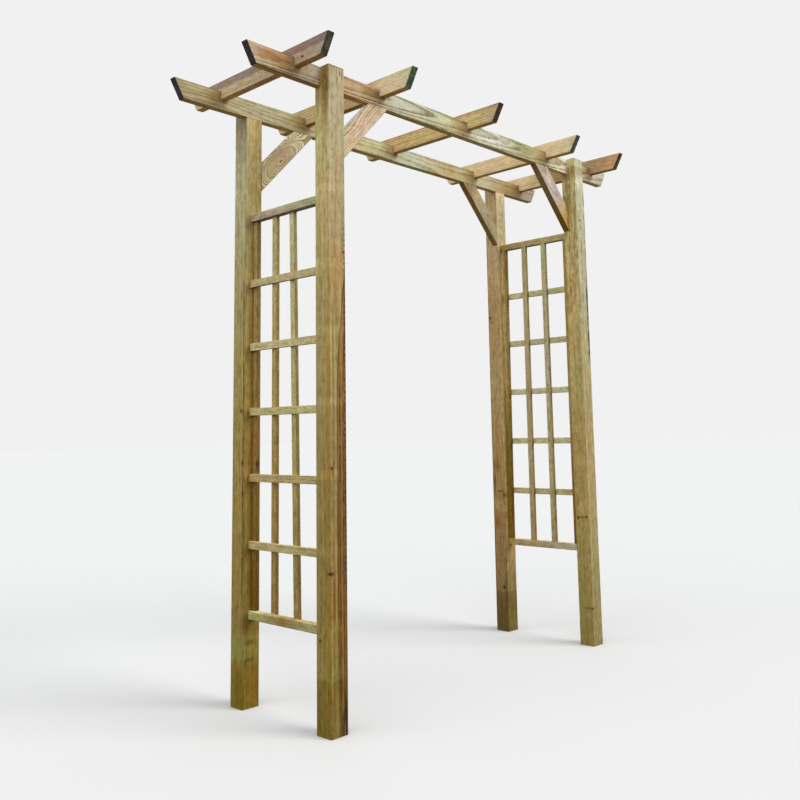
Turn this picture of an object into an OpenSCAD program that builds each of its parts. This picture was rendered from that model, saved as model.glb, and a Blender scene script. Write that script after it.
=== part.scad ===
// Flat top garden arch: an open timber frame with a trellis panel on each side.
// Millimetres. X runs along the beams, Y from the front to the rear, Z up from the ground.
// The origin is on the ground, in the middle of the beams and rafters in plan.

/* [Frame] */
// Side of the square posts
post_w = 73; // [64:1:90]
// Height of the posts, level with the top of the beams
post_h = 2258; // [2150:1:2500]
// Width over the outer faces of the posts
span_x = 1630; // [1450:1:1800]
// Depth over the outer faces of the posts
span_y = 550; // [480:1:700]
// How far the posts stand to the right of the middle of the beams
post_shift = 20; // [0:1:40]

/* [Top] */
// Thickness of the beams, rafters and braces
stock_t = 31; // [24:1:38]
// Depth of the beams, rafters and braces
stock_h = 72; // [66:1:90]
// Length of a beam along its top edge
beam_len = 2224; // [2140:1:2400]
// Length of a rafter along its top edge
rafter_len = 814; // [780:1:1000]
// How far the end of a beam or rafter is cut back underneath
end_cut = 40; // [10:1:60]
// How far the rafters sit down over the beams
rafter_sit = 32; // [16:1:40]
// Middle of the rafter beyond the left posts
left_rafter = -898; // [-980:1:-880]
// Middles of the three rafters between the posts
inner_rafters = [-488, 28, 602]; // [-640:1:640]
// Middle of the rafter beyond the right posts
right_rafter = 980; // [900:1:990]
// Height of a brace's foot on the post below the beam
brace_drop = 281; // [220:1:340]
// Reach of a brace's lower edge along the beam
brace_reach = 261; // [220:1:300]
// Radius of the eased long edges
ease = 3; // [1:0.5:4]

/* [Trellis] */
// Thickness of a trellis batten
batten_t = 14; // [10:1:18]
// Width of the slats and stiles
slat_w = 26; // [20:1:32]
// Height of the cross rails
rail_h = 28; // [20:1:32]
// Height of the double top and bottom rails
end_rail_h = 30; // [24:1:36]
// Height of the left panel's lower edge above the ground
left_z = 308; // [200:1:340]
// Height of the right panel's lower edge above the ground
right_z = 410; // [380:1:440]
// Height of a trellis panel
panel_h = 1496; // [1400:1:1520]
// Distance from one cross rail to the next
rail_pitch = 241; // [220:1:245]
// Slats of the left panel, distance from the middle at the foot and head of the front one, then of the rear one
left_slats = [-53, -27, 73, 73]; // [-80:1:80]
// Slats of the right panel, in the same order
right_slats = [-63, -59, 57, 57]; // [-80:1:80]
// Gap between the right panel's rear stile and the post, at its foot and at its head
stile_gap = [2, 12]; // [0:1:20]
// Radius of the battens' eased edges
batten_ease = 1.5; // [0.5:0.5:2.5]

/* [Hidden] */
gap_y = span_y / 2 - post_w;          // inner faces of the posts, from the middle
beam_y = gap_y + stock_t / 2;         // middle of a beam, flush with the inner faces
beam_z = post_h - stock_h / 2;        // middle of a beam
half_sit = rafter_sit / 2;            // depth of each half of a halving
rafter_z = post_h - rafter_sit + stock_h / 2;
rafter_x = concat(left_rafter, inner_rafters, right_rafter);
panel_in = (post_w - 2 * batten_t) / 2; // panel set in from the posts' outer faces
slat_bed = 1;                         // how far the slats are let into the cross rails
timber = [0.64, 0.58, 0.38];
batten = [0.60, 0.56, 0.36];

// Section of planed timber with its four long edges eased
module eased(a, b, r) {
    square([a - 2 * r, b], center = true);
    square([a, b - 2 * r], center = true);
    for (x = [-1, 1], y = [-1, 1])
        translate([x * (a / 2 - r), y * (b / 2 - r)]) circle(r, $fn = 24);
}

// Timber lying along X, a thick in Y and b deep in Z
module along_x(len, a, b, r) {
    rotate([90, 0, 90]) linear_extrude(len, center = true) eased(a, b, r);
}

// Timber lying along Y, a thick in X and b deep in Z
module along_y(len, a, b, r) {
    rotate([90, 0, 0]) linear_extrude(len, center = true) eased(a, b, r);
}

// Rail on edge along X, its ends cut back underneath
module cut_rail(len) {
    intersection() {
        along_x(len, stock_t, stock_h, ease);
        rotate([90, 0, 0]) linear_extrude(stock_t + 2, center = true)
            polygon([[-len / 2 + end_cut, -stock_h / 2], [len / 2 - end_cut, -stock_h / 2],
                [len / 2, stock_h / 2], [-len / 2, stock_h / 2]]);
    }
}

// Post of one corner, housed on its inner side for the beam; sx and sy are -1 or 1
module post(sx, sy) {
    color(timber) difference() {
        translate([post_shift + sx * (span_x - post_w) / 2, sy * (span_y - post_w) / 2, 0])
            linear_extrude(post_h) eased(post_w, post_w, ease);
        translate([post_shift + sx * (span_x - post_w) / 2, sy * (beam_y - 5), beam_z + 5])
            cube([post_w + 2, stock_t + 10, stock_h + 10], center = true);
    }
}

// Beam of one row, notched from above for the lower half of each rafter's halving
module beam(sy) {
    color(timber) difference() {
        translate([0, sy * beam_y, beam_z]) cut_rail(beam_len);
        for (x = rafter_x) translate([x, sy * beam_y, post_h - half_sit / 2 + 5])
            cube([stock_t, stock_t + 2, half_sit + 10], center = true);
    }
}

// Rafter across both beams, notched from below for the upper half of each halving
module rafter(x) {
    color(timber) difference() {
        translate([x, 0, rafter_z]) rotate([0, 0, 90]) cut_rail(rafter_len);
        for (sy = [-1, 1]) translate([x, sy * beam_y, post_h - half_sit - half_sit / 2 - 5])
            cube([stock_t + 2, stock_t, half_sit + 10], center = true);
    }
}

// Knee brace, cut level to meet the beam and upright to meet the post
module brace(sx, sy) {
    slope = atan(brace_drop / brace_reach);
    face_x = span_x / 2 - post_w;      // inner face of the post, from the middle of the posts
    head_z = post_h - stock_h;         // underside of the beam
    color(timber) translate([post_shift, 0, 0]) mirror([sx < 0 ? 1 : 0, 0, 0]) intersection() {
        translate([face_x - brace_reach / 2, sy * beam_y, head_z - brace_drop / 2])
            rotate([0, slope, 0]) translate([0, 0, stock_h / 2])
            along_x(3 * brace_drop, stock_t, stock_h, ease);
        translate([face_x - 500, sy * beam_y, head_z - 500]) cube(1000, center = true);
    }
}

// Outer face of a panel's cross rails, and the way in from it; sx is -1 or 1
function panel_x(sx) = post_shift + sx * (span_x / 2 - panel_in);
function panel_z(sx) = sx < 0 ? left_z : right_z;

// Double rail at the head (up = 1) or foot (up = 0) of a panel
module end_rail(sx, up) {
    z = panel_z(sx) + (up == 1 ? panel_h - end_rail_h / 2 : end_rail_h / 2);
    color(batten) translate([panel_x(sx) - sx * batten_t, 0, z])
        along_y(2 * gap_y, 2 * batten_t, end_rail_h, batten_ease);
}

// Upright from the bottom rail to the top rail, from y0 at its foot to y1 at its head, let into the
// cross rails by bed
module upright(sx, y0, y1, bed = 0) {
    z0 = panel_z(sx) + end_rail_h;
    len = panel_h - 2 * end_rail_h;
    x = panel_x(sx) - sx * (1.5 * batten_t - bed / 2);
    intersection() {
        translate([x, (y0 + y1) / 2, z0 + len / 2]) rotate([-atan((y1 - y0) / len), 0, 0])
            linear_extrude(len + 40, center = true) eased(batten_t + bed, slat_w, batten_ease);
        translate([x, 0, z0 + len / 2]) cube([2 * batten_t, 2 * gap_y, len], center = true);
    }
}

// Stile beside the front (sy = -1) or rear (sy = 1) post; all but one stand against it
module stile(sx, sy) {
    gap = sx == 1 && sy == 1 ? stile_gap : [0, 0];
    color(batten) upright(sx, sy * (gap_y - slat_w / 2 - gap[0]), sy * (gap_y - slat_w / 2 - gap[1]));
}

// Two slats with five cross rails laid over them on the outer side
module lattice(sx) {
    s = sx < 0 ? left_slats : right_slats;
    color(batten) union() {
        upright(sx, s[0], s[1], slat_bed);
        upright(sx, s[2], s[3], slat_bed);
        for (i = [-2:2]) translate([panel_x(sx) - sx * batten_t / 2, 0,
                panel_z(sx) + panel_h / 2 - 4 + i * rail_pitch])
            along_y(2 * gap_y, batten_t, rail_h, batten_ease);
    }
}

post(-1, -1);  // post_front_left
post(1, -1);  // post_front_right
post(-1, 1);  // post_rear_left
post(1, 1);  // post_rear_right
beam(-1);  // beam_front
beam(1);  // beam_rear
rafter(rafter_x[0]);  // rafter_1
rafter(rafter_x[1]);  // rafter_2
rafter(rafter_x[2]);  // rafter_3
rafter(rafter_x[3]);  // rafter_4
rafter(rafter_x[4]);  // rafter_5
brace(-1, -1);  // brace_front_left
brace(1, -1);  // brace_front_right
brace(-1, 1);  // brace_rear_left
brace(1, 1);  // brace_rear_right
end_rail(-1, 1);  // trellis_left_top_rail
end_rail(-1, 0);  // trellis_left_bottom_rail
stile(-1, -1);  // trellis_left_front_stile
stile(-1, 1);  // trellis_left_rear_stile
lattice(-1);  // trellis_left_lattice
end_rail(1, 1);  // trellis_right_top_rail
end_rail(1, 0);  // trellis_right_bottom_rail
stile(1, -1);  // trellis_right_front_stile
stile(1, 1);  // trellis_right_rear_stile
lattice(1);  // trellis_right_lattice
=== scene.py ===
import math

import bmesh
import bpy
import numpy as np
from mathutils import Matrix, Vector


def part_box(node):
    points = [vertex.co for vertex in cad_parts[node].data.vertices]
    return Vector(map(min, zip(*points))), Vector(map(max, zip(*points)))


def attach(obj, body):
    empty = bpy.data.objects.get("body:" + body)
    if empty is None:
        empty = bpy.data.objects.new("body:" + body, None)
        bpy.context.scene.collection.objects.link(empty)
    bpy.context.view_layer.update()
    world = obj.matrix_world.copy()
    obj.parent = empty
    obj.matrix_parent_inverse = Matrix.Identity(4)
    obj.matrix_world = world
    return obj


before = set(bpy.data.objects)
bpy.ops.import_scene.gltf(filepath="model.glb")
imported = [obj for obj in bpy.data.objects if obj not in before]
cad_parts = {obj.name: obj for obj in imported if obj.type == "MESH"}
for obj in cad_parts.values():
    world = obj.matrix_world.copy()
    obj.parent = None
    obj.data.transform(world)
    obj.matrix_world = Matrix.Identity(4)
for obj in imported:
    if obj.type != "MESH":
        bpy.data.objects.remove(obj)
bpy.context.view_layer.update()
scene = bpy.context.scene

# ---------------------------------------------------------------------------------------------
# Posts. Four planed square posts of pressure treated softwood, which stand square on the ground, with
# a housing in the inner side for the beam. They have gone from straw to olive, greener in blotches and
# browner down to the foot, and each is sawn from its own place in the log.
LEFT, RIGHT, FRONT, REAR, DOWN, UP = (-1, 0, 0), (1, 0, 0), (0, -1, 0), (0, 1, 0), (0, 0, -1), (0, 0, 1)


class Finish:
    """The finish of one piece, built up in small steps. Each step gives the socket with its result."""

    def __init__(self, name):
        self.material = bpy.data.materials.new(name)
        self.material.use_nodes = True
        self.tree = self.material.node_tree
        self.skin = self.tree.nodes["Principled BSDF"]
        spots = self.step("TexCoord").outputs
        self.place, self.facing = spots["Object"], spots["Normal"]

    def step(self, kind, sockets=None, **settings):
        """Adds a step, and fills each of its sockets with a value or with another step's result."""
        made = self.tree.nodes.new("ShaderNode" + kind)
        for key, value in settings.items():
            setattr(made, key, value)
        for key, value in (sockets or {}).items():
            socket = made.inputs[key]
            if isinstance(value, bpy.types.NodeSocket):
                self.tree.links.new(value, socket)
            else:
                socket.default_value = (*value, 1) if socket.type == "RGBA" else value
        return made

    def calc(self, operation, a, b=0.0, c=0.0):
        return self.step("Math", {0: a, 1: b, 2: c}, operation=operation).outputs[0]

    def vector(self, operation, a, b=(0, 0, 0)):
        result = self.step("VectorMath", {0: a, 1: b}, operation=operation).outputs
        return result[1 if operation in ("LENGTH", "DOT_PRODUCT") else 0]

    def join(self, x, y, z):
        return self.step("CombineXYZ", {0: x, 1: y, 2: z}).outputs[0]

    def split(self, vector):
        return self.step("SeparateXYZ", {0: vector}).outputs

    def local(self, middle, turn, size=(1, 1, 1)):
        """The place on the object measured from middle, along axes turned by turn, in units of size."""
        sockets = {"Vector": self.place, "Location": middle, "Rotation": turn, "Scale": size}
        return self.step("Mapping", sockets, vector_type="TEXTURE").outputs[0]

    def noise(self, at, stretch, detail=2.0, roughness=0.5, output=0):
        """Soft blotches, about 0.5 on average; stretch is how many of them a metre holds each way."""
        sockets = {"Vector": self.vector("MULTIPLY", at, stretch), "Scale": 1, "Detail": detail,
                   "Roughness": roughness}
        return self.step("TexNoise", sockets).outputs[output]

    def about(self, base, noise, width):
        """base, give or take half of width as the noise goes from 0 to 1."""
        return self.calc("ADD", base, self.calc("MULTIPLY_ADD", noise, width, -width / 2))

    def ease(self, value, low, high, start=0.0, end=1.0):
        """start below low and end above high, with a smooth change between them."""
        sockets = {"Value": value, "From Min": low, "From Max": high, "To Min": start, "To Max": end}
        return self.step("MapRange", sockets, interpolation_type="SMOOTHSTEP").outputs[0]

    def between(self, value, low, high, soft):
        """1 where the value is between low and high, with ends that fade over soft."""
        return self.calc("MULTIPLY", self.ease(value, low, low + soft), self.ease(value, high, high - soft))

    def mix(self, amount, a, b, blend="MIX"):
        return self.step("Mix", {0: amount, 6: a, 7: b}, data_type="RGBA", blend_type=blend).outputs[2]

    def stain(self, amount, colour, tint):
        """The colour multiplied by the tint, as far as amount says."""
        return self.mix(amount, colour, tint, "MULTIPLY")

    def ramp(self, value, stops):
        """The colour that the stops give at the value."""
        made = self.step("ValToRGB", {0: value})
        band = made.color_ramp
        while len(band.elements) < len(stops):
            band.elements.new(0.5)
        for element, (at, colour) in zip(band.elements, stops):
            element.position = at
            element.color = (*colour, 1)
        return made.outputs[0]

    def coat(self, colour, roughness, height, strength, depth):
        """Lays the colour, the roughness and the relief of height on the skin."""
        relief = self.step("Bump", {"Strength": strength, "Distance": depth, "Height": height}).outputs[0]
        for socket, value in (("Base Color", colour), ("Roughness", roughness), ("Normal", relief)):
            self.tree.links.new(value, self.skin.inputs[socket])


def paint(code):
    """The linear colour of a six-figure hex code."""
    parts = [int(code[i:i + 2], 16) / 255 for i in (0, 2, 4)]
    return [c / 12.92 if c <= 0.04045 else ((c + 0.055) / 1.055) ** 2.4 for c in parts]


def grey(level):
    return (level, level, level)


class Softwood(Finish):
    """The wood of one timber, worked out through the whole solid. middle is the timber's, along is the
    way it runs, half is half its section, and pith is the way from the middle to the heart of the log,
    which leans from the timber by lean. grain, where it is given, takes the place of pith and lean.
    The seed picks its noise. (lx, ly, lz) is a place measured from the middle, with lz along the timber,
    and (gx, gy, gz) is the same place measured from the pith."""

    def __init__(self, node, middle, along, pith, seed, half, lean, grain):
        super().__init__(node)
        self.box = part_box(node)
        self.middle, self.seed, self.half = middle, seed, half
        self.along = Vector(along).normalized()
        turn = self.along.to_track_quat("Z", "Y").to_euler()
        self.lx, self.ly, self.lz = self.split(self.local(middle, turn))
        if grain:
            self.log, self.batten_tint = grain(self)
        else:
            turn = (self.along + Vector(lean)).to_track_quat("Z", "Y").to_euler()
            self.log, self.batten_tint = self.local(Vector(middle) + Vector(pith), turn), None
        self.gx, self.gy, self.gz = self.split(self.log)
        self.own = self.vector("ADD", self.log, (seed * 1.7, seed * 0.9, seed * 2.3))
        self.ragged = self.noise(self.own, (200, 200, 60))
        self.drift = self.calc("MULTIPLY_ADD", self.noise(self.own, (40, 40, 4), 3), 0.024, -0.012)

    def wash(self, amount, tint):
        """Stains the whole colour with the tint, as far as amount says."""
        self.colour = self.stain(amount, self.colour, tint)

    def egg(self, facing, a, b, size):
        """The place measured from the middle of an egg, in units of its half sizes: along the timber,
        across it and into it. The egg lies on the face that looks to facing, where the two other
        coordinates are a and b."""
        axis = max(range(3), key=lambda i: abs(facing[i]))
        point = [a, b]
        point.insert(axis, self.box[facing[axis] > 0][axis])
        into = Vector(facing).normalized()
        run = (self.along - into * self.along.dot(into)).normalized()
        turn = Matrix((run, into.cross(run), into)).transposed().to_euler()
        return self.local(point, turn, size)

    def beyond(self, normal, bow, loose):
        """Distance from the middle along normal, wavering by loose, less the bow of the line that it is
        measured from: bow[1] times the square of the way along the timber past bow[0]."""
        depth = self.vector("DOT_PRODUCT", self.vector("SUBTRACT", self.place, self.middle), normal)
        depth = self.calc("ADD", depth, self.calc("MULTIPLY", self.drift, loose))
        if bow:
            bent = self.calc("MAXIMUM", self.calc("ADD", self.lz, -bow[0]), 0)
            bent = self.calc("MULTIPLY", self.calc("MULTIPLY", bent, bent), bow[1])
            depth = self.calc("SUBTRACT", depth, bent)
        return depth

    def looking(self, facing, low, high):
        """1 on the faces that look to facing. It fades in as the cosine goes from low to high."""
        return self.ease(self.vector("DOT_PRODUCT", self.facing, facing), low, high)

    def grow(self, knots, swells, ring, lumps):
        """Growth rings. The pith wanders along the log and its rings aren't quite round. r, the distance
        from the pith less a swelling round each knot, over the ring width gives a saw wave of early and
        late wood, and the late wood is darker in some years than in others."""
        stray = self.noise(self.join(self.seed * 3.7, 0.0, self.gz), (1, 1, 1.3), 1, output=1)
        stray = self.vector("MULTIPLY", self.vector("SUBTRACT", stray, (0.5, 0.5, 0.5)), (0.03, 0.03, 0))
        r = self.vector("MULTIPLY", self.vector("ADD", self.log, stray), (1, 1, 0))
        r = self.about(self.vector("LENGTH", r), self.noise(self.own, (20, 20, 1.8)), lumps)
        r = self.about(r, self.ragged, 0.003)
        self.to_knot = None
        for facing, a, b, tall, wide in knots:
            egg = self.egg(facing, a, b, (tall, wide, 0.04))
            away = self.vector("LENGTH", egg)
            self.to_knot = self.calc("MINIMUM", self.to_knot, away) if self.to_knot else away
            eddy = self.vector("LENGTH", self.vector("MULTIPLY", egg, (0.3, 0.7, 0.8)))
            r = self.calc("SUBTRACT", r, self.ease(eddy, 2.2, 0.4, 0.0, tall))
        for facing, a, b, size, rise in swells:
            swell = self.vector("LENGTH", self.egg(facing, a, b, size))
            r = self.calc("SUBTRACT", r, self.ease(swell, 1.0, 0.0, 0.0, rise))
        self.r = r
        n = self.calc("DIVIDE", r, ring)
        uneven = self.noise(self.join(n, self.seed, 0.0), (0.31, 1, 1), 1)
        n = self.calc("ADD", n, self.calc("MULTIPLY", uneven, 1.6))
        saw = [(0, grey(0.0)), (0.35, grey(0.05)), (0.75, grey(0.85)), (0.9, grey(1)), (1.0, grey(0.0))]
        year = self.step("TexWhiteNoise", {"W": self.calc("FLOOR", n)}, noise_dimensions="1D").outputs[0]
        self.rings = self.calc("MULTIPLY", self.ramp(self.calc("FRACT", n), saw),
                               self.calc("MULTIPLY_ADD", year, 0.6, 0.4))

    def season(self, tones, sides, zones, bands, green, pink):
        """The colour along the timber, then the tint of each side, of the heartwood beyond a bowed line,
        of bands across the timber, and of the parts that are pinker or greener than the rest."""
        first, last = tones[0][0], tones[-1][0]
        level = self.step("MapRange", {"Value": self.lz, "From Min": first, "From Max": last}).outputs[0]
        self.colour = self.ramp(level, [((z - first) / (last - first), paint(code)) for z, code in tones])
        if self.batten_tint:
            self.wash(1.0, self.batten_tint)
        for facing, tint in sides:
            self.wash(self.looking(facing, 0.5, 0.9), tint)
        for normal, offset, bow, soft, tint, amount in zones:
            depth = self.beyond(normal, bow, min(1.0, soft / 0.004))
            self.wash(self.ease(depth, offset - soft, offset + soft, 0.0, amount), tint)
        for low, high, tint in bands:
            level = self.calc("ADD", self.lz, self.calc("MULTIPLY", self.drift, 0.5))
            self.wash(self.between(level, low - 0.006, high + 0.006, 0.012), tint)
        warm = self.noise(self.join(self.r, self.gy, self.gz), (80, 24, 1.5))
        self.wash(self.ease(warm, 0.48, 0.66, 0, pink), (1.20, 0.92, 0.76))
        damp = self.noise(self.own, (24, 24, 8), 3, 0.6)
        self.wash(self.ease(damp, 0.48, 0.62, 0, green), (0.80, 1.02, 0.88))

    def figure(self, streak, mottle, late, arris):
        """Light and dark across the grain: broad streaks and fine lines, clouds, the late wood of the
        rings, and painted shade and highlight along the arrises. Pale parts are creamy and dark ones brown."""
        broad = self.noise(self.join(self.r, self.gx, self.gz), (110, 14, 1.6), 2, 0.6)
        lines = self.noise(self.own, (200, 200, 12), 3, 0.7)
        cloud = self.noise(self.own, (60, 60, 30), 4, 0.7)
        shade = 0.5
        for pattern, width in ((broad, 0.8 * streak), (lines, 1.5 * streak), (cloud, 0.8 * mottle)):
            shade = self.about(shade, pattern, width)
        shade = self.calc("MULTIPLY_ADD", self.rings, -0.30 * late, self.calc("ADD", shade, 0.09 * late))
        if self.half:
            wide, deep = self.half
            self.rim = self.calc("MAXIMUM", self.calc("SUBTRACT", wide, self.calc("ABSOLUTE", self.lx)),
                                 self.calc("SUBTRACT", deep, self.calc("ABSOLUTE", self.ly)))
            # Painted shade and highlight along the arrises, from arris[0] at one side to arris[1] at the
            # other.
            arris_shading = self.step("MapRange", {"Value": self.ly, "From Min": -deep, "From Max": deep,
                                          "To Min": arris[0], "To Max": arris[1]}).outputs[0]
            arris_shading = self.calc("MULTIPLY", self.ease(self.rim, 0.0042, 0.0012), arris_shading)
            shade = self.calc("ADD", shade, arris_shading)
        dark_to_pale = [(0.0, (0.46, 0.37, 0.25)), (0.25, (0.74, 0.67, 0.55)), (0.5, grey(1)),
                        (0.75, (1.25, 1.24, 1.24)), (1.0, (1.44, 1.45, 1.50))]
        self.wash(1.0, self.ramp(shade, dark_to_pale))

    def weather(self, rough):
        """Long fibres, brown flecks, and a torn and pitted surface, in the colour and in the relief."""
        self.fibre = self.noise(self.own, (900, 900, 26), 2, 0.6)
        self.wash(1.0, self.ramp(self.fibre, [(0.3, grey(0.84)), (0.5, grey(1)), (0.7, grey(1.14))]))
        fleck = self.noise(self.own, (300, 300, 44))
        self.wash(self.ease(fleck, 0.62, 0.74, 0, 0.35), (0.56, 0.46, 0.34))
        torn = self.noise(self.own, (330, 330, 210), 2, 0.6)
        pits = [(0.34, (0.55, 0.47, 0.36)), (0.5, grey(1)), (0.66, (1.30, 1.30, 1.34))]
        self.wash(rough, self.ramp(torn, pits))
        self.height = self.calc("MULTIPLY_ADD", self.rings, 0.6, self.calc("MULTIPLY", self.fibre, 0.8))
        self.height = self.calc("MULTIPLY_ADD", torn, 2.0 * rough, self.height)

    def mark(self, seams, nicks, spots):
        """Seams are broken streaks of width along the timber from low to high, at offset from its middle,
        on the faces that look to facing. Nicks are a row of saw cuts over an arris, one each 21 mm.
        Spots are ragged eggs of another tint."""
        broken = self.noise(self.own, (70, 70, 24))
        for normal, offset, bow, low, high, width, facing, tint in seams:
            across = self.calc("ABSOLUTE", self.calc("SUBTRACT", self.beyond(normal, bow, 0.25), offset))
            seam = self.calc("MULTIPLY", self.between(self.lz, low, high, 0.06),
                             self.ease(broken, 0.36, 0.52, 0.25, 1.0))
            seam = self.calc("MULTIPLY", seam, self.looking(facing, 0.4, 0.7))
            self.wash(self.calc("MULTIPLY", seam, self.ease(across, width * 1.3, width * 0.7)), tint)
        for normal, offset, low, high in nicks:
            reach = self.vector("DOT_PRODUCT", self.vector("SUBTRACT", self.place, self.middle), normal)
            reach = self.about(reach, self.ragged, 0.016)
            loose = self.calc("MULTIPLY", self.ragged, 3.0)
            wave = self.calc("MULTIPLY_ADD", self.lz, 2 * math.pi / 0.021, loose)
            nick = self.calc("MULTIPLY", self.ease(reach, offset - 0.002, offset + 0.001),
                             self.ease(self.calc("SINE", wave), -0.1, 0.6))
            nick = self.calc("MULTIPLY", nick, self.between(self.lz, low, high, 0.1))
            self.wash(nick, (0.30, 0.20, 0.13))
            self.height = self.calc("SUBTRACT", self.height, nick)
        for facing, a, b, size, tint, soft in spots:
            away = self.about(self.vector("LENGTH", self.egg(facing, a, b, size)), self.ragged, 1.4)
            self.wash(self.ease(away, 1.0 + soft, 1.0 - soft), tint)

    def show_knots(self):
        """Knots are rings of red and dark brown with a nearly black bark, proud of the stained wood
        round them."""
        away = self.about(self.to_knot, self.ragged, 1.1)
        self.wash(self.ease(away, 2.6, 1.0, 0, 0.7), (0.82, 0.60, 0.38))
        heart = [(0, paint("4a2612")), (0.5, paint("5a3018")), (0.75, paint("34190b")),
                 (0.95, paint("1c0d06"))]
        self.colour = self.mix(self.ease(away, 1.2, 0.9), self.colour, self.ramp(away, heart))
        self.height = self.calc("ADD", self.height, self.ease(away, 1.3, 0.8, 0, 1.2))

    def cut_ends(self, tone):
        """End grain: dark where the preservative soaked in, with the rings showing and painted shade along
        its rim.
        """
        endwise = self.vector("DOT_PRODUCT", self.facing, self.along)
        cut = self.ease(self.calc("ABSOLUTE", endwise), 0.6, 0.75)
        sawn = self.stain(self.calc("MULTIPLY", self.rings, 0.8), paint(tone), grey(0.4))
        pores = self.noise(self.own, (300, 300, 300), 3)
        sawn = self.stain(1.0, sawn, self.ramp(pores, [(0.3, grey(0.5)), (0.7, grey(1.6))]))
        soaked = self.vector("ADD", self.place, (self.seed * 1.3, 0.0, self.seed * 0.7))
        soaked = self.ramp(self.noise(soaked, (40, 40, 40)),
                           [(0.38, grey(0.45)), (0.52, grey(1)), (0.65, grey(1.25))])
        sawn = self.stain(1.0, sawn, soaked)
        # Painted shade along the rim of the cut end.
        sawn = self.stain(self.ease(self.rim, 0.006, 0.001, 0, 0.7), sawn, grey(0.3))
        self.colour = self.mix(cut, self.colour, sawn)


def dress(node, middle, along, pith, seed, tones, half=None, lean=(0, 0, 0), grain=None, knots=(), swells=(),
          spots=(), zones=(), seams=(), bands=(), sides=(), nicks=(), ring=0.011, late=1.0, lumps=0.006,
          streak=0.5, mottle=1.0, green=0.35, pink=0.25, rough=0.3, arris=(-0.16, -0.16), end="4a4634"):
    """Works out a timber's own wood and puts it on the timber. tones are its colours along it, measured
    from its middle, as zones, bands, seams and nicks are. ring is the width of a growth ring and lumps
    how uneven it is; late, streak, mottle, green, pink and rough say how strong each of these is, arris
    is the painted shade (below 0) or highlight (above 0) along the edges at its two sides, and end is
    the colour of the sawn ends.
    A knot, swell or spot opens with the way its face looks and its two coordinates on that face, and its
    sizes are half sizes. The rest of each mark, in order:
    knots: height, width; swells: the size, how far it lifts the rings;
    spots: the size, the tint, how soft the edge is; sides: the way it looks, the tint;
    bands: from, to, the tint; nicks: the way and distance to the arris, from, to;
    zones: the way and distance to the line, its bow, how soft it is, the tint, how much of it;
    seams: the way and distance to the line, its bow, from, to, the width, the side, the tint."""
    wood = Softwood(node, middle, along, pith, seed, half, lean, grain)
    wood.grow(knots, swells, ring, lumps)
    wood.season(tones, sides, zones, bands, green, pink)
    wood.figure(streak, mottle, late, arris)
    wood.weather(rough)
    wood.mark(seams, nicks, spots)
    if knots:
        wood.show_knots()
    if half:
        wood.cut_ends(end)
    wood.coat(wood.colour, wood.ease(wood.fibre, 0.3, 0.7, 0.62, 0.86), wood.height, 0.6, 0.0007)
    wood.skin.inputs["Specular IOR Level"].default_value = 0.2
    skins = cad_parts[node].data.materials
    skins.clear()
    skins.append(wood.material)


def middle_of(node):
    low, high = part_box(node)
    return (low + high) / 2


def half_of(node):
    low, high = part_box(node)
    return (high - low) / 2


WAIST = middle_of("post_front_left").z  # the middle of a post, from which its height marks are measured
PALE_BANDS = (0.345, 0.581, 0.828, 1.069, 1.310, 1.545, 1.81)  # their heights, near the trellis rails


def square_post(node, **log):
    dress(node, middle_of(node), UP, half=half_of(node)[:2], late=0.6, mottle=1.5, **log)


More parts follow.
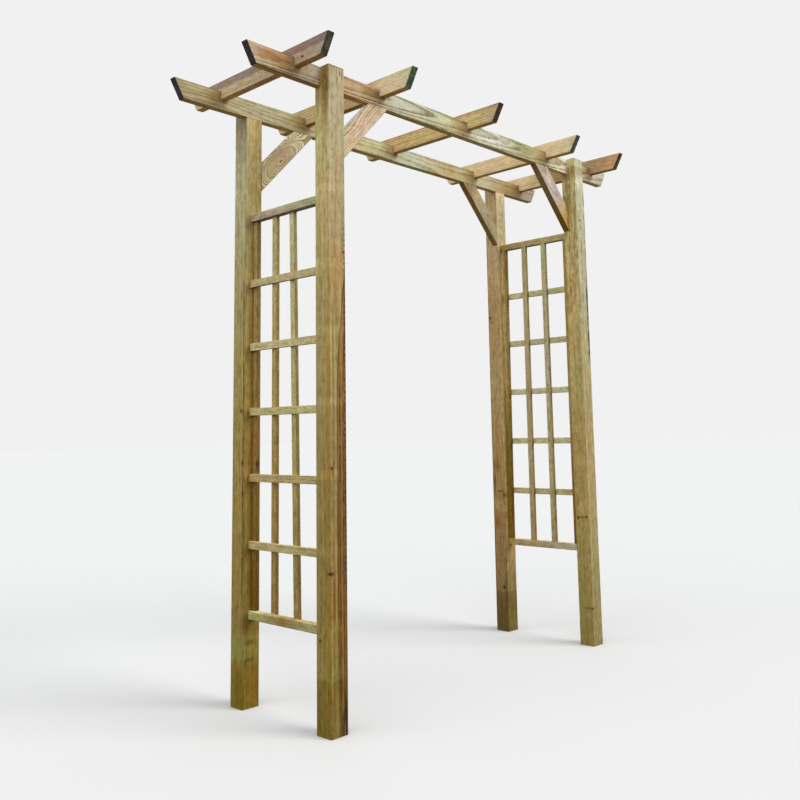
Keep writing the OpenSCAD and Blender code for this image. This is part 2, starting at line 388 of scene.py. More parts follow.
square_post(
    "post_front_left", pith=(0.034, 0.045, 0), seed=1, arris=(-0.34, -0.06),
    tones=[(-1.129, "888351"), (-0.829, "877843"), (-0.329, "908357"), (0.071, "a1956a"),
           (0.371, "a99b6f"), (0.671, "baaa7d"), (1.129, "c3b284")],
    sides=[(FRONT, (0.85, 0.89, 1.06)), (LEFT, (1.18, 1.12, 0.94))],
    knots=[((-0.7, -1, 0), -0.794, 0.513, 0.0045, 0.0085), (FRONT, -0.788, 0.853, 0.0044, 0.0035),
           (LEFT, -0.221, 0.298, 0.0044, 0.0035), (RIGHT, -0.2, 1.6, 0.01, 0.008)],
    zones=[(FRONT, 0.0066, (-0.2, 0.068), 0.005, (1.08, 0.88, 0.58), 0.9),
           (RIGHT, -0.0050, (-0.10, 0.163), 0.003, (0.72, 0.53, 0.33), 0.95),
           (RIGHT, 0.026, (0.1, 0.05), 0.003, (0.78, 0.66, 0.54), 0.9)],
    seams=[(RIGHT, -0.0040, (-0.10, 0.163), -1.0, 0.45, 0.0026, FRONT, (0.52, 0.42, 0.26)),
           (RIGHT, -0.0310, None, -1.05, 0.60, 0.0040, FRONT, (1.22, 1.20, 1.14)),
           (RIGHT, -0.0215, None, -1.05, 0.30, 0.0030, FRONT, (0.80, 0.74, 0.62)),
           (RIGHT, -0.0130, None, -0.80, 0.20, 0.0018, FRONT, (1.36, 1.32, 1.18)),
           (RIGHT, 0.0060, None, -1.10, 0.02, 0.0028, FRONT, (0.50, 0.36, 0.20)),
           (RIGHT, 0.0140, None, -1.10, 0.20, 0.0028, FRONT, (1.30, 1.24, 1.10)),
           (RIGHT, 0.0215, (-0.1, 0.10), -1.12, 0.25, 0.0026, FRONT, (0.48, 0.33, 0.20)),
           (RIGHT, 0.0340, None, -1.12, 0.45, 0.0025, FRONT, (0.34, 0.24, 0.16)),
           (RIGHT, 0.0160, None, -1.20, -1.02, 0.0035, FRONT, (0.24, 0.20, 0.14)),
           (RIGHT, 0.0270, None, -1.20, -1.00, 0.0030, FRONT, (0.20, 0.17, 0.12)),
           (RIGHT, 0.0215, None, -1.20, -1.04, 0.0015, FRONT, (1.50, 1.45, 1.30))],
    bands=[(z - WAIST - 0.012, z - WAIST + 0.020, (1.10, 1.14, 1.16)) for z in PALE_BANDS]
    + [(-1.2, -0.953, (0.82, 0.74, 0.48)), (-0.953, -0.79, (1.04, 1.08, 1.12)),
       (1.123, 1.2, (0.62, 0.60, 0.50))],
    nicks=[((0.7071, -0.7071, 0), 0.0462, -0.75, 0.60)],
    spots=[(FRONT, -0.779, 0.43, (0.075, 0.006, 0.02), (0.85, 0.56, 0.32), 0.6),
           # Painted shadow on the front part of the left face, next to the beam.
           (LEFT, -0.256, 2.20, (0.16, 0.017, 0.02), (0.62, 0.50, 0.36), 0.5),
           (LEFT, -0.214, 2.02, (0.10, 0.010, 0.02), (1.06, 1.24, 1.20), 0.6),
           (LEFT, -0.206, 1.53, (0.03, 0.012, 0.02), (1.10, 1.26, 1.22), 0.6),
           (FRONT, -0.745, 1.98, (0.05, 0.006, 0.02), (1.00, 1.20, 1.05), 0.6),
           (FRONT, -0.742, 2.236, (0.012, 0.0022, 0.01), (0.26, 0.26, 0.2), 0.4),
           (FRONT, -0.732, 2.226, (0.016, 0.0020, 0.01), (0.30, 0.30, 0.24), 0.4),
           (FRONT, -0.750, 0.04, (0.040, 0.0022, 0.01), (0.2, 0.16, 0.08), 0.4),
           (FRONT, -0.733, 0.07, (0.060, 0.0030, 0.01), (0.2, 0.17, 0.08), 0.4),
           (FRONT, -0.790, 0.835, (0.010, 0.004, 0.01), (1.15, 0.92, 0.74), 0.8),
           (FRONT, -0.762, 1.76, (0.27, 0.034, 0.02), (1.00, 0.87, 0.75), 0.4),
           (LEFT, -0.2385, 1.85, (0.30, 0.06, 0.02), (1.04, 1.09, 1.17), 0.5),
           (FRONT, -0.7585, 0.02, (0.07, 0.05, 0.02), (1.03, 1.10, 1.40), 0.6),
           (LEFT, -0.2385, 0.02, (0.07, 0.05, 0.02), (0.88, 0.82, 0.60), 0.6),
           (FRONT, -0.734, 1.80, (0.30, 0.012, 0.02), (0.84, 0.90, 0.88), 0.4)])

square_post(
    "post_front_right", pith=(-0.05, 0.02, 0), seed=2, arris=(-0.30, -0.04),
    tones=[(-1.129, "94824e"), (-0.629, "a89660"), (-0.129, "b19b68"), (0.371, "bfb382"),
           (1.129, "cfcba4")],
    sides=[(FRONT, (0.88, 0.91, 1.02)), (LEFT, (1.14, 1.09, 0.98))],
    knots=[(FRONT, 0.794, 1.955, 0.0040, 0.003), (LEFT, -0.2165, 0.563, 0.006, 0.004),
           (LEFT, -0.2625, 0.568, 0.005, 0.0035), (FRONT, 0.766, 0.165, 0.005, 0.004)],
    swells=[(FRONT, 0.796, 1.960, (0.08, 0.022, 0.03), 0.022)],
    seams=[(RIGHT, -0.004, None, 0.40, 0.83, 0.0017, FRONT, (0.30, 0.26, 0.2)),
           (RIGHT, 0.008, None, -0.35, 0.45, 0.0013, FRONT, (0.6, 0.56, 0.48)),
           (RIGHT, -0.012, None, -0.20, 0.50, 0.0013, FRONT, (0.6, 0.46, 0.32)),
           (RIGHT, -0.0345, None, 0.35, 1.1, 0.0025, (-0.7, -0.7, 0), (0.66, 0.52, 0.36)),
           (RIGHT, 0.0290, None, 0.12, 0.53, 0.0070, FRONT, (0.10, 0.10, 0.08)),
           (RIGHT, 0.0330, None, 0.40, 1.00, 0.0040, FRONT, (0.16, 0.15, 0.11))],
    # The second band, level with the beam, is painted shadow.
    bands=[(0.975, 1.035, (1.14, 1.16, 1.2)), (1.05, 1.09, (0.80, 0.72, 0.60))],
    spots=[(LEFT, -0.239, 0.566, (0.0026, 0.024, 0.01), (0.34, 0.27, 0.16), 0.4),
           (LEFT, -0.237, 0.605, (0.028, 0.013, 0.01), (1.20, 1.26, 1.30), 0.6),
           (LEFT, -0.245, 0.815, (0.020, 0.016, 0.01), (1.12, 1.22, 1.22), 0.6),
           (LEFT, -0.248, 0.740, (0.035, 0.014, 0.01), (0.84, 1.00, 0.84), 0.7),
           (LEFT, -0.235, 1.225, (0.045, 0.020, 0.01), (0.88, 1.04, 0.92), 0.7),
           (LEFT, -0.220, 0.180, (0.130, 0.012, 0.01), (0.84, 1.02, 0.90), 0.7),
           (LEFT, -0.2385, 1.72, (0.24, 0.06, 0.02), (1.16, 1.18, 1.20), 0.4),
           (LEFT, -0.2385, 1.40, (0.08, 0.06, 0.02), (0.92, 0.88, 0.82), 0.5),
           (FRONT, 0.7985, 1.75, (0.30, 0.06, 0.02), (0.92, 0.94, 0.98), 0.4),
           (FRONT, 0.7985, 0.02, (0.07, 0.05, 0.02), (1.03, 1.06, 1.15), 0.6),
           (LEFT, -0.2385, 0.02, (0.07, 0.05, 0.02), (0.92, 0.92, 0.82), 0.6)])

square_post(
    "post_rear_left", pith=(0.02, -0.06, 0), seed=3, arris=(-0.30, -0.16),
    tones=[(-1.129, "847926"), (-0.829, "8e7a3b"), (-0.329, "a18946"), (0.071, "a89555"),
           (0.471, "b2a471"), (0.771, "c5bc8e"), (1.129, "c8bd90")],
    sides=[(FRONT, (0.95, 0.94, 0.84)), (LEFT, (1.06, 1.07, 1.19))],
    knots=[(LEFT, 0.222, 1.056, 0.0056, 0.0045), (FRONT, -0.737, 0.859, 0.0044, 0.0035),
           (LEFT, 0.211, 0.865, 0.0085, 0.0050), (LEFT, 0.210, 0.755, 0.0060, 0.0035)],
    bands=[(-0.965, -0.870, (1.08, 1.26, 1.42)), (-1.2, -0.985, (1.02, 0.86, 0.55))],
    zones=[(RIGHT, -0.022, None, 0.004, (0.86, 0.68, 0.52), 0.7)],
    seams=[(REAR, -0.029, (0.1, 0.02), -0.75, 0.45, 0.0028, LEFT, (0.30, 0.24, 0.15)),
           (REAR, -0.024, (0.1, 0.02), -0.15, 0.45, 0.0022, LEFT, (1.3, 1.3, 1.1)),
           (RIGHT, 0.014, (0.1, 0.02), -0.75, 0.30, 0.0020, FRONT, (0.55, 0.30, 0.2)),
           (RIGHT, 0.024, (0.1, 0.02), -0.95, 0.45, 0.0018, FRONT, (1.35, 1.25, 1.1))],
    # The first spot, high on the left face under the beam, is painted shade.
    spots=[(LEFT, 0.240, 2.10, (0.13, 0.05, 0.02), (0.80, 0.78, 0.82), 0.6),
           (FRONT, -0.763, 0.228, (0.008, 0.020, 0.01), (0.50, 0.48, 0.38), 0.9),
           (FRONT, -0.770, 0.168, (0.006, 0.018, 0.01), (0.45, 0.42, 0.28), 0.9),
           (FRONT, -0.785, 0.155, (0.012, 0.007, 0.01), (0.55, 0.50, 0.34), 0.9),
           (LEFT, 0.225, 0.06, (0.07, 0.04, 0.02), (0.74, 0.78, 0.66), 0.6),
           (LEFT, 0.212, 0.70, (0.04, 0.0018, 0.01), (0.22, 0.17, 0.10), 0.5),
           (LEFT, 0.212, 0.51, (0.09, 0.0018, 0.01), (0.25, 0.2, 0.14), 0.5)])

square_post(
    "post_rear_right", pith=(0.0, -0.05, 0), seed=4, pink=0.4, arris=(-0.30, -0.10),
    tones=[(-1.129, "6e6132"), (-0.729, "a78a58"), (-0.329, "b69962"), (0.071, "c5ae7a"),
           (0.471, "c6aa76"), (1.129, "f6e0b4")],
    sides=[(FRONT, (1.11, 1.18, 1.14)), (LEFT, (0.90, 0.85, 0.87))],
    knots=[(LEFT, 0.262, 1.534, 0.0056, 0.0045), (LEFT, 0.257, 1.513, 0.0037, 0.003),
           (LEFT, 0.207, 0.649, 0.0085, 0.004), (LEFT, 0.223, 0.208, 0.0075, 0.006)],
    bands=[(-0.942, -0.805, (1.14, 1.18, 1.20)), (-1.2, -0.945, (0.86, 0.80, 0.66)),
           (-0.56, -0.50, (1.10, 1.12, 1.12)), (-0.33, -0.29, (1.10, 1.12, 1.12))],
    seams=[(REAR, 0.033, None, -1.12, 1.0, 0.0025, LEFT, (0.55, 0.46, 0.36))],
    # The first spot is painted shade on the top of the front face.
    spots=[(FRONT, 0.7985, 2.02, (0.24, 0.06, 0.02), (0.76, 0.77, 0.79), 0.3),
           (FRONT, 0.7985, 0.20, (0.13, 0.06, 0.02), (0.68, 0.66, 0.62), 0.3),
           (FRONT, 0.783, 0.205, (0.010, 0.012, 0.01), (1.22, 1.10, 0.80), 0.5),
           (LEFT, 0.228, 0.668, (0.007, 0.022, 0.01), (0.62, 0.52, 0.38), 0.6),
           (LEFT, 0.262, 0.705, (0.050, 0.006, 0.01), (0.52, 0.40, 0.26), 0.6),
           (LEFT, 0.252, 0.600, (0.020, 0.016, 0.01), (1.22, 1.20, 1.20), 0.6),
           (LEFT, 0.248, 0.800, (0.035, 0.022, 0.01), (0.72, 0.62, 0.52), 0.8),
           (LEFT, 0.255, 0.520, (0.030, 0.014, 0.01), (0.80, 0.56, 0.44), 0.7)])

# ---------------------------------------------------------------------------------------------
# Beams. Two planed softwood rails on edge, let into the inner side of the posts and flush with them,
# notched from above for the rafters, and sawn back underneath at the ends. The front one is brown
# heartwood at its left end and pale flat sawn wood beyond.
SLIM = half_of("beam_front")[1:]  # half the section of the beams, rafters and braces
# Painted shade and warm reflected light on the beams' undersides.
BEAM_UNDERSIDE_SHADE = (DOWN, (1.10, 0.92, 0.56))
RAFTERS_AT = [middle_of(f"rafter_{number}").x for number in range(1, 6)]
HALVING = 2.242  # height of the middle of the joint, where half of each rail is left


def joint_lines_and_shadows(rafters, out, height, size, tint):
    """A thin dark line at the left of each halving, and beside those of rafters a painted shadow, browned by
    painted light thrown back from the rafter.
    """
    lines = [(FRONT, x - SLIM[0] - 0.001, HALVING, (0.0012, 0.016, 0.004), (0.35, 0.26, 0.14), 0.3)
             for x in RAFTERS_AT]
    return lines + [(FRONT, x - out, height, size, tint, 0.7) for x in rafters]


def beam(node, **log):
    dress(node, middle_of(node), RIGHT, half=SLIM, mottle=1.3, streak=0.4, sides=[BEAM_UNDERSIDE_SHADE],
          end="3c3638", **log)


beam(
    "beam_front", pith=(0.0, 0.045, 0.012), lean=(0, 0.03, 0.004), seed=5, ring=0.0085, late=2.8,
    arris=(-0.12, -0.34), green=0.5, pink=0.15,
    tones=[(-1.11, "b39b82"), (-0.95, "ae9375"), (-0.85, "9b9482"), (-0.68, "ba966f"), (-0.4, "b6b6a4"),
           (-0.08, "bbaf8b"), (0.15, "d0cdc5"), (0.42, "a89e70"), (0.75, "d5cfbb"), (0.93, "c6bbae"),
           (1.11, "b3a695")],
    swells=[(FRONT, 0.443, 2.236, (0.055, 0.035, 0.04), 0.05),
            (FRONT, 0.275, 2.240, (0.045, 0.025, 0.04), 0.03)],
    # A pale line between two dark ones near the lower edge: painted highlight and shade of a cupped face.
    seams=[(UP, -0.0255, (-0.3, 0.004), -1.06, -0.40, 0.0018, FRONT, (1.30, 1.26, 1.15)),
           (UP, -0.0215, (-0.3, 0.004), -1.06, 0.05, 0.0014, FRONT, (0.56, 0.46, 0.32)),
           (UP, -0.0300, (-0.3, 0.004), -1.06, 1.0, 0.0016, FRONT, (0.62, 0.52, 0.38))],
    spots=[(FRONT, 0.443, 2.236, (0.026, 0.015, 0.01), (0.90, 1.04, 0.94), 0.5),
           (FRONT, -0.960, 2.230, (0.115, 0.024, 0.01), (0.86, 0.66, 0.42), 0.25)]
    + joint_lines_and_shadows(RAFTERS_AT[1:], 0.050, 2.228, (0.055, 0.028, 0.01), (0.82, 0.66, 0.44)))

beam(
    "beam_rear", pith=(0.0, 0.05, -0.03), lean=(0, 0.01, 0.01), seed=6, ring=0.010, late=1.6,
    arris=(-0.12, -0.30),
    tones=[(-1.11, "9e8b6b"), (-0.95, "b3a781"), (-0.7, "afa684"), (-0.5, "aaa27c"), (-0.1, "bdb68e"),
           (0.12, "c3c5b2"), (0.4, "b39f6d"), (0.65, "c0b899"), (0.85, "a48952"), (1.11, "a39993")],
    spots=joint_lines_and_shadows(RAFTERS_AT, 0.045, 2.232, (0.045, 0.028, 0.01), (0.86, 0.72, 0.50)))

# ---------------------------------------------------------------------------------------------
# Rafters. Five softwood rails on edge, laid across the beams and halved over them, with a sunk screw
# down into each beam. Their ends are sawn back underneath and dark with preservative, one of them green.


def rafter(node, below, streak=0.45, mottle=1.4, **log):
    """One rafter; below tints its underside with painted shade and warm reflected light."""
    middle = middle_of(node)
    screws = [(UP, middle.x, middle_of(row).y, (0.0042, 0.0042, 0.01), (0.16, 0.17, 0.17), 0.12)
              for row in ("beam_front", "beam_rear")]
    dress(node, middle, REAR, half=SLIM, streak=streak, mottle=mottle, sides=[(DOWN, below)],
          arris=(0.08, -0.32), spots=screws, **log)


rafter(
    "rafter_1", pith=(-0.02, 0, 0.07), seed=7, below=(1.30, 0.98, 0.86), pink=0.6, end="54503f",
    tones=[(-0.39, "b1a895"), (-0.33, "b7a38b"), (-0.26, "b9a38b"), (-0.15, "bca68c"), (0, "c4ae91"),
           (0.16, "cdbc9a")],
    knots=[(LEFT, -0.276, 2.246, 0.005, 0.004)],
    zones=[(UP, 0.006, None, 0.003, (0.56, 0.52, 0.66), 0.9)])

rafter(
    "rafter_2", pith=(0.01, 0, 0.09), seed=8, below=(0.62, 0.52, 0.30), streak=0.25, mottle=0.9,
    end="4c6646",
    tones=[(-0.39, "dbd0ab"), (-0.33, "e9d9b3"), (-0.26, "e8d6ac"), (-0.15, "d2b484"), (0, "cdb083"),
           (0.16, "d0b88a")])

rafter(
    "rafter_3", pith=(0.02, 0, -0.08), seed=9, below=(0.80, 0.70, 0.50), end="44301e",
    tones=[(-0.39, "c0aa87"), (-0.33, "d5bd8c"), (-0.26, "ddc78b"), (-0.15, "d8bf88"), (0, "e1c78a"),
           (0.16, "d9b983")],
    zones=[(UP, 0.020, None, 0.004, (0.92, 0.78, 0.95), 0.8)])

rafter(
    "rafter_4", pith=(-0.02, 0, 0.08), seed=10, below=(0.50, 0.42, 0.22), streak=0.35, mottle=1.2, late=0.8,
    end="474c3c",
    tones=[(-0.39, "d8cda3"), (-0.33, "eedcb0"), (-0.26, "efd7a9"), (-0.15, "e6cd9e"), (0, "f4d8ab"),
           (0.16, "f0d9ab")])

rafter(
    "rafter_5", pith=(0.02, 0, -0.09), seed=11, below=(0.55, 0.44, 0.26), pink=0.6, end="483a28",
    tones=[(-0.39, "cba77a"), (-0.33, "c6a073"), (-0.26, "b89675"), (-0.15, "b0936c"), (0, "ae9162"),
           (0.16, "eed5ab")])

# ---------------------------------------------------------------------------------------------
# Braces. A softwood knee brace in each corner between post and beam, of the same stock as the rafters,
# cut upright to meet the post and level to meet the beam. The left ones are flat sawn, so that their
# faces show long pointed arches of grain.
DROP, REACH = 0.281, 0.261  # how far its lower edge comes down the post and out along the beam
OUT, HEIGHT = 0.638, 2.070  # its middle, sideways from between the posts and up from the ground
BETWEEN_POSTS = (middle_of("post_front_left").x + middle_of("post_front_right").x) / 2


def brace(node, side, row, above=(1, 1, 1), **log):
    """One brace in a row of the frame, by the left post (side -1) or the right one (side 1); above is
    the painted highlight on its upper edge, and its lower edge is tinted with painted shade."""
    middle = (BETWEEN_POSTS + side * OUT, middle_of(row).y, HEIGHT)
    upwards = Vector((side * DROP, 0, REACH)).normalized()
    # Painted shade on the lower edge and a painted highlight, by above, on the upper edge.
    edges = [(-upwards, (0.56, 0.46, 0.24)), (upwards, above)]
    dress(node, middle, (-side * REACH, 0, DROP), half=SLIM, sides=edges, **log)


brace(
    "brace_front_left", side=-1, row="beam_front", above=(1.20, 1.50, 1.95), pith=(-0.050, 0.02, 0.046),
    seed=12, ring=0.0085, late=2.0, pink=0.3, lumps=0.010, streak=0.35, mottle=1.5,
    tones=[(-0.12, "c8b592"), (0, "c9b197"), (0.12, "d3bd9f")],
    swells=[(FRONT, -0.640, 2.050, (0.14, 0.05, 0.06), 0.010)])

brace(
    "brace_front_right", side=1, row="beam_front", pith=(0, 0.05, 0), lean=(0, -0.08, 0), seed=13,
    late=0.9, pink=0.5, rough=0.7,
    tones=[(-0.12, "b09553"), (0, "bdb1ad"), (0.12, "c6b6a9")])

brace(
    "brace_rear_left", side=-1, row="beam_rear", above=(1.25, 1.35, 1.60), pith=(0.03, 0.03, -0.02),
    seed=14, ring=0.0064, late=4.0, pink=0.2, streak=0.3,
    tones=[(-0.12, "c2b68c"), (0, "ba9f80"), (0.12, "ded6aa")],
    swells=[(FRONT, -0.632, 2.050, (0.17, 0.070, 0.07), 0.085)])

brace(
    "brace_rear_right", side=1, row="beam_rear", pith=(0, 0.05, 0), lean=(0, 0.09, 0), seed=15,
    late=0.8, rough=0.7,
    tones=[(-0.12, "b4a885"), (0, "bdae8e"), (0.12, "bba276")])

# ---------------------------------------------------------------------------------------------
# Trellis. A panel of thin softwood battens in each side: five cross rails laid over two slats, between
# a double rail at the head and one at the foot, with a stile beside each post. The crossings are nailed
# from the inner side, where the nails' rusty heads and a brown stain round each show.
BATTEN = 0.014  # thickness of a batten
PANEL = 1.496  # height of a panel
PITCH = 0.241  # from one cross rail to the next
CROSS_RAIL = 0.028  # height of a cross rail
END_RAIL = 0.030  # height of the rails at the head and foot
STILE = 0.026  # width of a stile
STILE_AT = 0.189  # middle of a stile, from the middle of the panel
RAILS_LOW = 0.004  # how far the middle cross rail sits below the middle of the panel
# Painted shade: the battens' undersides and the edges that look to the front are tinted darker.
UNDERSIDE_SHADE = (DOWN, (0.40, 0.34, 0.26))
FRONT_EDGE_SHADE = (FRONT, (0.52, 0.45, 0.32))

steel = Finish("rusty_steel")
patches = steel.noise(steel.place, (900, 900, 900), 3, 0.6)
rust = steel.ramp(patches, [(0.35, paint("3a2e22")), (0.5, paint("5e4830")), (0.62, paint("80603e")),
                            (0.7, paint("6c6a62"))])
steel.coat(rust, steel.ease(patches, 0.4, 0.7, 0.85, 0.45), patches, 0.4, 0.0002)
steel.tree.links.new(steel.ease(patches, 0.6, 0.72, 0.0, 0.8), steel.skin.inputs["Metallic"])


def nail_heads(name, places, out):
    """Domed heads that stand out to +X or -X. From the rim to the middle, as s goes from 0 to 1, a point
    of a head lies radius cos(pi s / 2) from its axis and rise sin(pi s / 2) proud of the wood. A disc
    let into the wood under the rim closes it."""
    radius, rise, let_in, sides = 0.0024, 0.0007, 0.0006, 16
    s = np.linspace(0, 1, 6)[:-1]
    across = np.concatenate(([0.0, radius], radius * np.cos(np.pi * s / 2), [0.0]))
    proud = np.concatenate(([-let_in, -let_in], rise * np.sin(np.pi * s / 2), [rise]))
    turn = np.arange(sides) * 2 * np.pi / sides
    x = np.broadcast_to(out * proud[:, None], (len(across), sides))
    head = np.stack((x, across[:, None] * np.cos(turn), across[:, None] * np.sin(turn)), axis=-1)
    heads = np.array(places)[:, None, None, :] + head
    number = np.arange(heads[..., 0].size).reshape(heads.shape[:3])
    ahead = np.roll(number, -1, axis=2)
    quads = np.stack((number[:, :-1], ahead[:, :-1], ahead[:, 1:], number[:, 1:]), axis=-1).reshape(-1, 4)
    mesh = bpy.data.meshes.new(name)
    mesh.from_pydata(heads.reshape(-1, 3).tolist(), [], (quads if out > 0 else quads[:, ::-1]).tolist())
    joined = bmesh.new()
    joined.from_mesh(mesh)
    bmesh.ops.remove_doubles(joined, verts=joined.verts, dist=1e-6)
    joined.to_mesh(mesh)
    joined.free()
    mesh.shade_smooth()
    mesh.materials.append(steel.material)
    piece = bpy.data.objects.new(name, mesh)
    scene.collection.objects.link(piece)
    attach(piece, "root")


def lattice_grain(wood, sign, face, level, rail_tints, rear_tint):
    """The cross rails' grain runs along Y and the slats' along Z. A rail is what lies in the outer layer,
    within half a rail's height of one of the five levels, and a hair more. Each rail and slat comes from
    its own place in the log and has its own tint."""
    x, y, z = wood.split(wood.place)
    above = wood.calc("SUBTRACT", z, level)
    to_rail = wood.calc("ABSOLUTE", wood.calc("WRAP", above, PITCH / 2, -PITCH / 2))
    outer = wood.calc("GREATER_THAN", wood.calc("MULTIPLY", x, sign), sign * face - BATTEN - 0.0005)
    rail = wood.calc("MULTIPLY", wood.calc("LESS_THAN", to_rail, CROSS_RAIL / 2 + 0.0001), outer)
    number = wood.calc("ROUND", wood.calc("DIVIDE", above, PITCH))
    shift = wood.join(wood.calc("MULTIPLY", number, 0.37), 0.03, wood.calc("MULTIPLY", number, 2.1))
    along_y = wood.vector("ADD", wood.join(x, z, y), shift)
    shift = wood.join(wood.calc("MULTIPLY", wood.calc("SIGN", y), 0.57), 0.02, 3.0)
    along_z = wood.vector("ADD", wood.join(x, y, z), shift)
    log = wood.step("Mix", {0: rail, 4: along_z, 5: along_y}, data_type="VECTOR").outputs[1]
    each = wood.calc("MULTIPLY_ADD", number, 1 / 4, 1 / 2)
    rail_tint = wood.ramp(each, [(i / 4, tint) for i, tint in enumerate(rail_tints)])
    slat_tint = wood.ramp(wood.calc("GREATER_THAN", y, 0.0), [(0.0, grey(1)), (1.0, rear_tint)])
    return log, wood.mix(rail, slat_tint, rail_tint)


def panel(side, slats, top_edge_highlight, rail_tints, rear_tint, tones):
    """One panel. slats says how far the foot and the head of each slat are from the panel's middle.
    top_edge_highlight is the painted highlight on the battens' upper edges, rail_tints tint the five cross
    rails from the lowest up, and rear_tint the rear slat. tones are the colours along each batten, and up
    the lattice."""
    name = f"trellis_{side}"
    sign = 1 if side == "right" else -1
    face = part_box(name + "_lattice")[sign > 0].x
    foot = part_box(name + "_bottom_rail")[0].z
    # Painted highlight on the upper edges of the battens.
    above = (UP, top_edge_highlight)
    for seed, place in ((16 + sign, "bottom_rail"), (18 + sign, "top_rail")):
        node = f"{name}_{place}"
        dress(node, middle_of(node), REAR, (0.01, 0, 0.03), seed, tones[place],
              half=(BATTEN, END_RAIL / 2), ring=0.007, late=0.8, mottle=1.6, rough=0.9, arris=(-0.3, 0.2),
              sides=[above, UNDERSIDE_SHADE], end="5a5236")
    for seed, place, y in ((23 + sign, "front_stile", -STILE_AT), (21 + sign, "rear_stile", STILE_AT)):
        node = f"{name}_{place}"
        middle = (face - sign * 1.5 * BATTEN, y, foot + PANEL / 2)
        knots = [(LEFT, y - STILE / 2, 0.862, 0.006, 0.0045)] if node == "trellis_left_rear_stile" else []
        dress(node, middle, UP, (0.01, 0.03, 0), seed, tones[place], half=(BATTEN / 2, STILE / 2),
              knots=knots, ring=0.007, streak=0.7, mottle=1.6, pink=0.4, rough=0.8, arris=(-0.3, -0.3),
              sides=[FRONT_EDGE_SHADE], end="5a5236")

    level = foot + PANEL / 2 - RAILS_LOW
    crossings = [(face - sign * 2 * BATTEN,
                  low + (high - low) * (z - foot - END_RAIL) / (PANEL - 2 * END_RAIL), z)
                 for low, high in slats for z in (level + n * PITCH for n in range(-2, 3))]
    nail_heads(name + "_nails", crossings, -sign)
    rusty = [((-sign, 0, 0), y, z - 0.002, (0.0075, 0.0048, 0.006), (1.06, 0.80, 0.56), 0.7)
             for x, y, z in crossings]
    dress(name + "_lattice", (face - sign * BATTEN, 0, foot + PANEL / 2), UP, (0, 0, 0), 26 + sign,
          tones["lattice"], grain=lambda wood: lattice_grain(wood, sign, face, level, rail_tints, rear_tint),
          ring=0.007, late=0.8, mottle=1.6, rough=0.8, sides=[above, UNDERSIDE_SHADE, FRONT_EDGE_SHADE], spots=rusty)


panel(
    "left", slats=((-0.053, -0.027), (0.073, 0.073)), top_edge_highlight=(1.65, 1.65, 1.5),
    rail_tints=((1.36, 1.44, 1.80), (1.14, 1.10, 1.27), (1.16, 1.23, 1.32), (1.13, 1.12, 1.25),
                (0.96, 0.89, 0.88)),
    rear_tint=(0.88, 0.80, 0.66),
    tones={"top_rail": [(-0.2, "b7b68b"), (0, "c5b89d"), (0.2, "c4b39f")],
           "bottom_rail": [(-0.2, "bdb88d"), (0, "9c8351"), (0.2, "c1bc85")],
           "front_stile": [(-0.75, "7a5b0d"), (0, "a5894c"), (0.75, "b3a471")],
           "rear_stile": [(-0.75, "7a5b0d"), (0, "a5894c"), (0.75, "b3a471")],
           "lattice": [(-0.75, "a7915f"), (-0.3, "b0a066"), (0.2, "c5b985"), (0.75, "d4d0a4")]})

panel(
    "right", slats=((-0.063, -0.059), (0.057, 0.057)), top_edge_highlight=(1.45, 1.35, 1.2),
    rail_tints=((1.12, 1.18, 1.18), (1.17, 1.26, 1.36), (1.30, 1.40, 1.54), (1.19, 1.19, 1.18),
                (1.17, 1.18, 1.14)),
    rear_tint=(0.90, 0.86, 0.80),
    tones={"top_rail": [(-0.2, "c7bc8e"), (0, "cdbb88"), (0.2, "ad8f55")],
           "bottom_rail": [(-0.2, "cec7a8"), (0, "b2a481"), (0.2, "c2b07e")],
           "front_stile": [(-0.75, "7a5708"), (0, "b29f62"), (0.75, "b0903b")],
           "rear_stile": [(-0.75, "8b6503"), (-0.27, "877129"), (0, "b69e5c"), (0.25, "c1b178"),
                          (0.75, "b1924e")],
           "lattice": [(-0.75, "b29e6c"), (-0.3, "c4b88b"), (0.2, "c3b994"), (0.75, "cbc497")]})

# ---------------------------------------------------------------------------------------------
# Floor. A plain pale studio floor, level under the four feet, which takes their shadow. It looks
# pale, and throws back only as much light as a lawn would.
EDGE = 60  # from the middle of the floor to its edges
corners = [(EDGE * x, EDGE * y, 0) for x, y in ((-1, -1), (1, -1), (1, 1), (-1, 1))]
floor_mesh = bpy.data.meshes.new("floor")
floor_mesh.from_pydata(corners, [], [(0, 1, 2, 3)])
floor = bpy.data.objects.new("floor", floor_mesh)
scene.collection.objects.link(floor)


def two_faced(tree, seen, thrown, output):
    """Shows seen to the camera and in reflections, and lights the scene with thrown."""
    rays = tree.nodes.new("ShaderNodeLightPath").outputs
    shown = rays["Is Camera Ray"]
    for ray in ("Is Glossy Ray", "Is Transmission Ray"):
        either = tree.nodes.new("ShaderNodeMath")
        either.operation = "MAXIMUM"
        tree.links.new(shown, either.inputs[0])
        tree.links.new(rays[ray], either.inputs[1])
        shown = either.outputs[0]
    choice = tree.nodes.new("ShaderNodeMixShader")
    tree.links.new(shown, choice.inputs[0])
    tree.links.new(thrown.outputs[0], choice.inputs[1])
    tree.links.new(seen.outputs[0], choice.inputs[2])
    tree.links.new(choice.outputs[0], tree.nodes.new(output).inputs["Surface"])


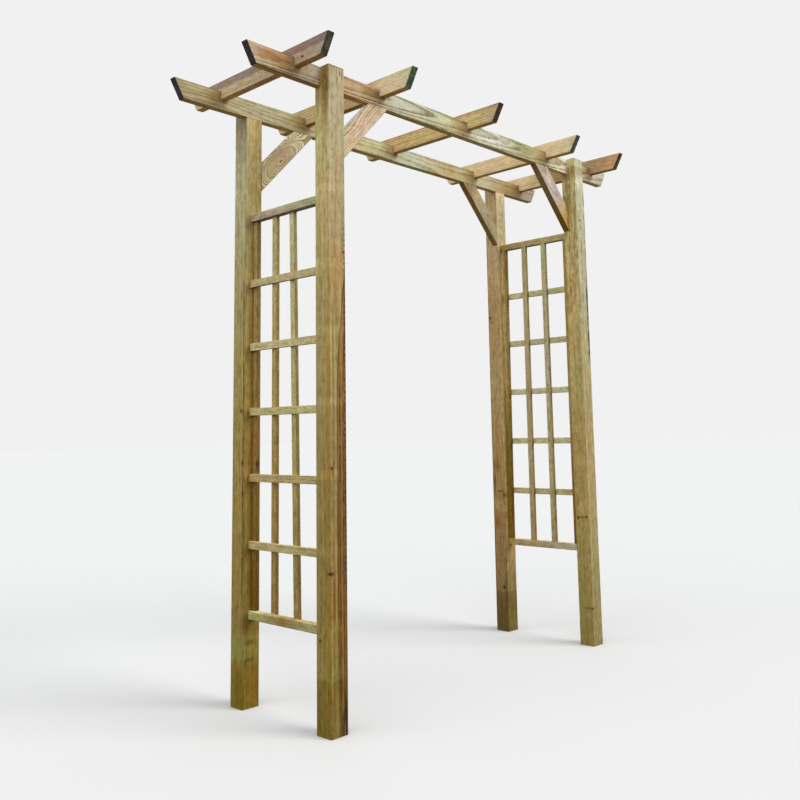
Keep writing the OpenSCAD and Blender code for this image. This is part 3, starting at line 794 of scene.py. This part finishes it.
pale = bpy.data.materials.new("floor")
pale.use_nodes = True
tree = pale.node_tree
tree.nodes.clear()
seen, thrown = (tree.nodes.new("ShaderNodeBsdfDiffuse") for _ in range(2))
seen.inputs["Color"].default_value = (0.765, 0.76, 0.755, 1)
thrown.inputs["Color"].default_value = (0.13, 0.11, 0.07, 1)
two_faced(tree, seen, thrown, "ShaderNodeOutputMaterial")
floor_mesh.materials.append(pale)

# ---------------------------------------------------------------------------------------------
# Light. An even pale studio all round, a broad soft lamp from the front right, and a weaker, broader
# one from the left.
world = bpy.data.worlds.new("studio")
scene.world = world
world.use_nodes = True
tree = world.node_tree
tree.nodes.clear()
seen, thrown = (tree.nodes.new("ShaderNodeBackground") for _ in range(2))
seen.inputs["Color"].default_value = (0.88, 0.88, 0.88, 1)
thrown.inputs["Color"].default_value = (0.58, 0.60, 0.61, 1)
two_faced(tree, seen, thrown, "ShaderNodeOutputWorld")


def soft_lamp(name, toward, level, spread):
    """A lamp in the way toward, as broad as spread in degrees. At level 1 a white face shows white."""
    lamp = bpy.data.lights.new(name, "SUN")
    lamp.energy = math.pi * level
    lamp.angle = math.radians(spread)
    stand = bpy.data.objects.new(name, lamp)
    stand.rotation_euler = Vector(toward).to_track_quat("Z", "Y").to_euler()
    scene.collection.objects.link(stand)


soft_lamp("front_right_lamp", toward=(0.30, -0.80, 0.52), level=0.72, spread=40)
soft_lamp("left_lamp", toward=(-0.85, -0.20, 0.45), level=0.42, spread=90)

# ---------------------------------------------------------------------------------------------
# Camera. At waist height off the left front corner, turned a little upwards.
eye = bpy.data.cameras.new("camera")
eye.lens = 39.6341
eye.sensor_width = 36
eye.shift_x = -0.02839
eye.shift_y = -0.10753
camera = bpy.data.objects.new("camera", eye)
camera.location = (-2.7539, -2.5069, 0.9710)
camera.rotation_euler = [math.radians(angle) for angle in (97.5553, 1.0684, -47.2216)]
scene.collection.objects.link(camera)
scene.camera = camera
scene.view_settings.view_transform = "Standard"
